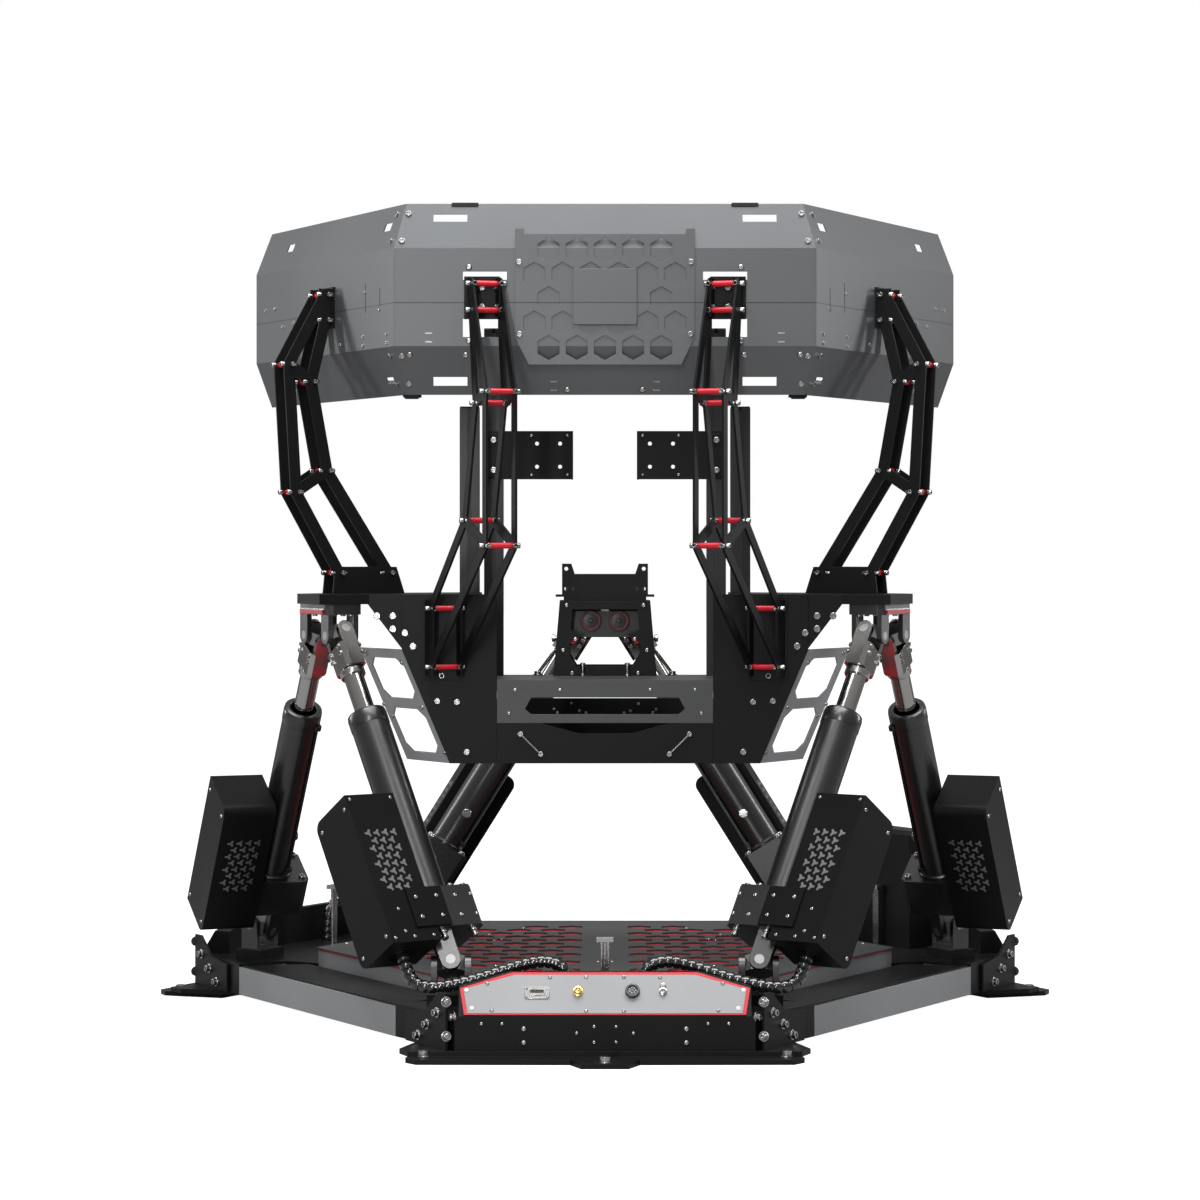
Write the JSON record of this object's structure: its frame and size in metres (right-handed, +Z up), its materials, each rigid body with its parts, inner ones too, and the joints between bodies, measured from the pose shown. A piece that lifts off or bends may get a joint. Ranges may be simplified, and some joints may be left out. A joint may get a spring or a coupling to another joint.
{
  "type": "six-axis motion platform",
  "caption": "Hexapod motion platform: three-cornered base, electric cylinders on universal joints and a moving cockpit frame with a folded screen shroud.",
  "frame": {"origin": "on the floor, under the middle of the whole outline", "axes": "+Z up, -Y towards the corner with the connector panel, +X to the right seen from there"},
  "size_m": [2.1666, 1.962, 1.853],
  "materials": {
    "black_coat": "satin powder coat",
    "grey_coat": "satin powder coat",
    "shroud_coat": "satin powder coat",
    "unit_coat": "satin powder coat",
    "tube_black": "gloss black",
    "panel_grey": "matte light grey",
    "red_sheet": "matte red",
    "red_anodised": "red anodised",
    "black_anodised": "black anodised",
    "cast_grey": "cast, machined faces",
    "nickel": "nickel plated",
    "rod_chrome": "ground and plated",
    "conduit_plastic": "matte"
  },
  "bodies": {
    "base": {"foot_plates": "black_coat", "base_frame": "grey_coat", "beam_covers": "black_coat", "deck_plate": "grey_coat", "deck_underlay": "red_sheet", "corner_housings": "black_coat", "connector_panel": "panel_grey", "panel_trim": "red_sheet", "stop_posts": "nickel", "control_cabinet": "black_coat", "lower_yokes": "cast_grey", "conduit_left": "conduit_plastic", "conduit_right": "conduit_plastic", "conduit_rear_left": "conduit_plastic"},
    "platform": {"upper_yokes": "cast_grey", "corner_arms": "black_coat", "cockpit_walls": "black_coat", "window_panels": "grey_coat", "floor_pan": "black_coat", "cradle_table": "grey_coat", "cockpit_posts": "black_anodised", "tower": "black_coat", "head_bracket": "black_coat", "wheelbase_brackets": "black_coat", "shroud_centre": "shroud_coat", "shroud_sides": "shroud_coat", "grille_plate": "shroud_coat", "shroud_arms": "black_coat", "arm_spacers": "red_anodised", "arm_brackets": "grey_coat"},
    "lower_cross_1": {"lower_cross_1": "nickel"},
    "barrel_1": {"cylinder_1": "tube_black", "motor_unit_1": "unit_coat"},
    "upper_cross_1": {"upper_cross_1": "nickel"},
    "rod_1": {"rod_1": "rod_chrome"},
    "lower_cross_2": {"lower_cross_2": "nickel"},
    "barrel_2": {"cylinder_2": "tube_black", "motor_unit_2": "unit_coat"},
    "upper_cross_2": {"upper_cross_2": "nickel"},
    "rod_2": {"rod_2": "rod_chrome"},
    "lower_cross_3": {"lower_cross_3": "nickel"},
    "barrel_3": {"cylinder_3": "tube_black", "motor_unit_3": "unit_coat"},
    "upper_cross_3": {"upper_cross_3": "nickel"},
    "rod_3": {"rod_3": "rod_chrome"},
    "lower_cross_4": {"lower_cross_4": "nickel"},
    "barrel_4": {"cylinder_4": "tube_black", "motor_unit_4": "unit_coat"},
    "upper_cross_4": {"upper_cross_4": "nickel"},
    "rod_4": {"rod_4": "rod_chrome"},
    "lower_cross_5": {"lower_cross_5": "nickel"},
    "barrel_5": {"cylinder_5": "tube_black", "motor_unit_5": "unit_coat"},
    "upper_cross_5": {"upper_cross_5": "nickel"},
    "rod_5": {"rod_5": "rod_chrome"},
    "lower_cross_6": {"lower_cross_6": "nickel"},
    "barrel_6": {"cylinder_6": "tube_black", "motor_unit_6": "unit_coat"},
    "upper_cross_6": {"upper_cross_6": "nickel"},
    "rod_6": {"rod_6": "rod_chrome"}
  },
  "joints": [
    {"name": "platform_heave", "type": "slide", "parent": "base", "child": "platform", "axis": [0, 0, 1], "range_m": [-0.1, 0.1]},
    {"name": "lower_yaw_1", "type": "hinge", "parent": "base", "child": "lower_cross_1", "pos_m": [-0.33535, -0.67127, 0.18], "axis": [1, 0, 0], "range_deg": [-3.5, 3.5]},
    {"name": "lower_tilt_1", "type": "hinge", "parent": "lower_cross_1", "child": "barrel_1", "pos_m": [-0.33535, -0.67127, 0.18], "axis": [0, 0.8934, -0.4494], "range_deg": [-2.3, 2.3]},
    {"name": "upper_yaw_1", "type": "hinge", "parent": "platform", "child": "upper_cross_1", "pos_m": [-0.60481, -0.31414, 0.89], "axis": [-0.866, -0.5, 0], "range_deg": [-3.9, 3.9]},
    {"name": "upper_tilt_1", "type": "hinge", "parent": "upper_cross_1", "child": "rod_1", "pos_m": [-0.60481, -0.31414, 0.89], "axis": [0.4239, -0.7343, 0.5302], "range_deg": [-0.7, 0.7]},
    {"name": "lower_yaw_2", "type": "hinge", "parent": "base", "child": "lower_cross_2", "pos_m": [0.33535, -0.67127, 0.18], "axis": [1, 0, 0], "range_deg": [-3.5, 3.5]},
    {"name": "lower_tilt_2", "type": "hinge", "parent": "lower_cross_2", "child": "barrel_2", "pos_m": [0.33535, -0.67127, 0.18], "axis": [0, 0.8934, -0.4494], "range_deg": [-2.3, 2.3]},
    {"name": "upper_yaw_2", "type": "hinge", "parent": "platform", "child": "upper_cross_2", "pos_m": [0.60481, -0.31414, 0.89], "axis": [0.866, -0.5, 0], "range_deg": [-3.9, 3.9]},
    {"name": "upper_tilt_2", "type": "hinge", "parent": "upper_cross_2", "child": "rod_2", "pos_m": [0.60481, -0.31414, 0.89], "axis": [0.4239, 0.7343, -0.5302], "range_deg": [-0.7, 0.7]},
    {"name": "lower_yaw_3", "type": "hinge", "parent": "base", "child": "lower_cross_3", "pos_m": [-0.50025, 0.77603, 0.18], "axis": [-0.5, -0.866, 0], "range_deg": [-3.5, 3.5]},
    {"name": "lower_tilt_3", "type": "hinge", "parent": "lower_cross_3", "child": "barrel_3", "pos_m": [-0.50025, 0.77603, 0.18], "axis": [0.7737, -0.4467, -0.4494], "range_deg": [-2.3, 2.3]},
    {"name": "upper_yaw_3", "type": "hinge", "parent": "platform", "child": "upper_cross_3", "pos_m": [-0.05624, 0.83082, 0.89], "axis": [0, 1, 0], "range_deg": [-3.9, 3.9]},
    {"name": "upper_tilt_3", "type": "hinge", "parent": "upper_cross_3", "child": "rod_3", "pos_m": [-0.05624, 0.83082, 0.89], "axis": [-0.8479, 0, 0.5302], "range_deg": [-0.7, 0.7]},
    {"name": "lower_yaw_4", "type": "hinge", "parent": "base", "child": "lower_cross_4", "pos_m": [-0.83559, 0.19519, 0.18], "axis": [-0.5, -0.866, 0], "range_deg": [-3.5, 3.5]},
    {"name": "lower_tilt_4", "type": "hinge", "parent": "lower_cross_4", "child": "barrel_4", "pos_m": [-0.83559, 0.19519, 0.18], "axis": [0.7737, -0.4467, -0.4494], "range_deg": [-2.3, 2.3]},
    {"name": "upper_yaw_4", "type": "hinge", "parent": "platform", "child": "upper_cross_4", "pos_m": [-0.66104, -0.21674, 0.89], "axis": [-0.866, -0.5, 0], "range_deg": [-3.9, 3.9]},
    {"name": "upper_tilt_4", "type": "hinge", "parent": "upper_cross_4", "child": "rod_4", "pos_m": [-0.66104, -0.21674, 0.89], "axis": [0.4239, -0.7343, -0.5302], "range_deg": [-0.7, 0.7]},
    {"name": "lower_yaw_5", "type": "hinge", "parent": "base", "child": "lower_cross_5", "pos_m": [0.83559, 0.19519, 0.18], "axis": [-0.5, 0.866, 0], "range_deg": [-3.5, 3.5]},
    {"name": "lower_tilt_5", "type": "hinge", "parent": "lower_cross_5", "child": "barrel_5", "pos_m": [0.83559, 0.19519, 0.18], "axis": [-0.7737, -0.4467, -0.4494], "range_deg": [-2.3, 2.3]},
    {"name": "upper_yaw_5", "type": "hinge", "parent": "platform", "child": "upper_cross_5", "pos_m": [0.66104, -0.21674, 0.89], "axis": [0.866, -0.5, 0], "range_deg": [-3.9, 3.9]},
    {"name": "upper_tilt_5", "type": "hinge", "parent": "upper_cross_5", "child": "rod_5", "pos_m": [0.66104, -0.21674, 0.89], "axis": [0.4239, 0.7343, 0.5302], "range_deg": [-0.7, 0.7]},
    {"name": "lower_yaw_6", "type": "hinge", "parent": "base", "child": "lower_cross_6", "pos_m": [0.50025, 0.77603, 0.18], "axis": [-0.5, 0.866, 0], "range_deg": [-3.5, 3.5]},
    {"name": "lower_tilt_6", "type": "hinge", "parent": "lower_cross_6", "child": "barrel_6", "pos_m": [0.50025, 0.77603, 0.18], "axis": [-0.7737, -0.4467, -0.4494], "range_deg": [-2.3, 2.3]},
    {"name": "upper_yaw_6", "type": "hinge", "parent": "platform", "child": "upper_cross_6", "pos_m": [0.05624, 0.83082, 0.89], "axis": [0, 1, 0], "range_deg": [-3.9, 3.9]},
    {"name": "upper_tilt_6", "type": "hinge", "parent": "upper_cross_6", "child": "rod_6", "pos_m": [0.05624, 0.83082, 0.89], "axis": [-0.8479, 0, -0.5302], "range_deg": [-0.7, 0.7]}
  ],
  "couplings": [
    {"joint": "lower_yaw_1", "follows": "platform_heave", "rad_per_m": 0.5654},
    {"joint": "lower_tilt_1", "follows": "platform_heave", "rad_per_m": 0.34182},
    {"joint": "upper_yaw_1", "follows": "platform_heave", "rad_per_m": -0.63318},
    {"joint": "upper_tilt_1", "follows": "platform_heave", "rad_per_m": -0.06597},
    {"joint": "lower_yaw_2", "follows": "platform_heave", "rad_per_m": 0.5654},
    {"joint": "lower_tilt_2", "follows": "platform_heave", "rad_per_m": -0.34182},
    {"joint": "upper_yaw_2", "follows": "platform_heave", "rad_per_m": 0.63318},
    {"joint": "upper_tilt_2", "follows": "platform_heave", "rad_per_m": -0.06597},
    {"joint": "lower_yaw_3", "follows": "platform_heave", "rad_per_m": 0.5654},
    {"joint": "lower_tilt_3", "follows": "platform_heave", "rad_per_m": 0.34182},
    {"joint": "upper_yaw_3", "follows": "platform_heave", "rad_per_m": -0.63318},
    {"joint": "upper_tilt_3", "follows": "platform_heave", "rad_per_m": -0.06597},
    {"joint": "lower_yaw_4", "follows": "platform_heave", "rad_per_m": 0.5654},
    {"joint": "lower_tilt_4", "follows": "platform_heave", "rad_per_m": -0.34182},
    {"joint": "upper_yaw_4", "follows": "platform_heave", "rad_per_m": 0.63318},
    {"joint": "upper_tilt_4", "follows": "platform_heave", "rad_per_m": -0.06597},
    {"joint": "lower_yaw_5", "follows": "platform_heave", "rad_per_m": 0.5654},
    {"joint": "lower_tilt_5", "follows": "platform_heave", "rad_per_m": 0.34182},
    {"joint": "upper_yaw_5", "follows": "platform_heave", "rad_per_m": -0.63318},
    {"joint": "upper_tilt_5", "follows": "platform_heave", "rad_per_m": -0.06597},
    {"joint": "lower_yaw_6", "follows": "platform_heave", "rad_per_m": 0.5654},
    {"joint": "lower_tilt_6", "follows": "platform_heave", "rad_per_m": -0.34182},
    {"joint": "upper_yaw_6", "follows": "platform_heave", "rad_per_m": 0.63318},
    {"joint": "upper_tilt_6", "follows": "platform_heave", "rad_per_m": -0.06597}
  ]
}
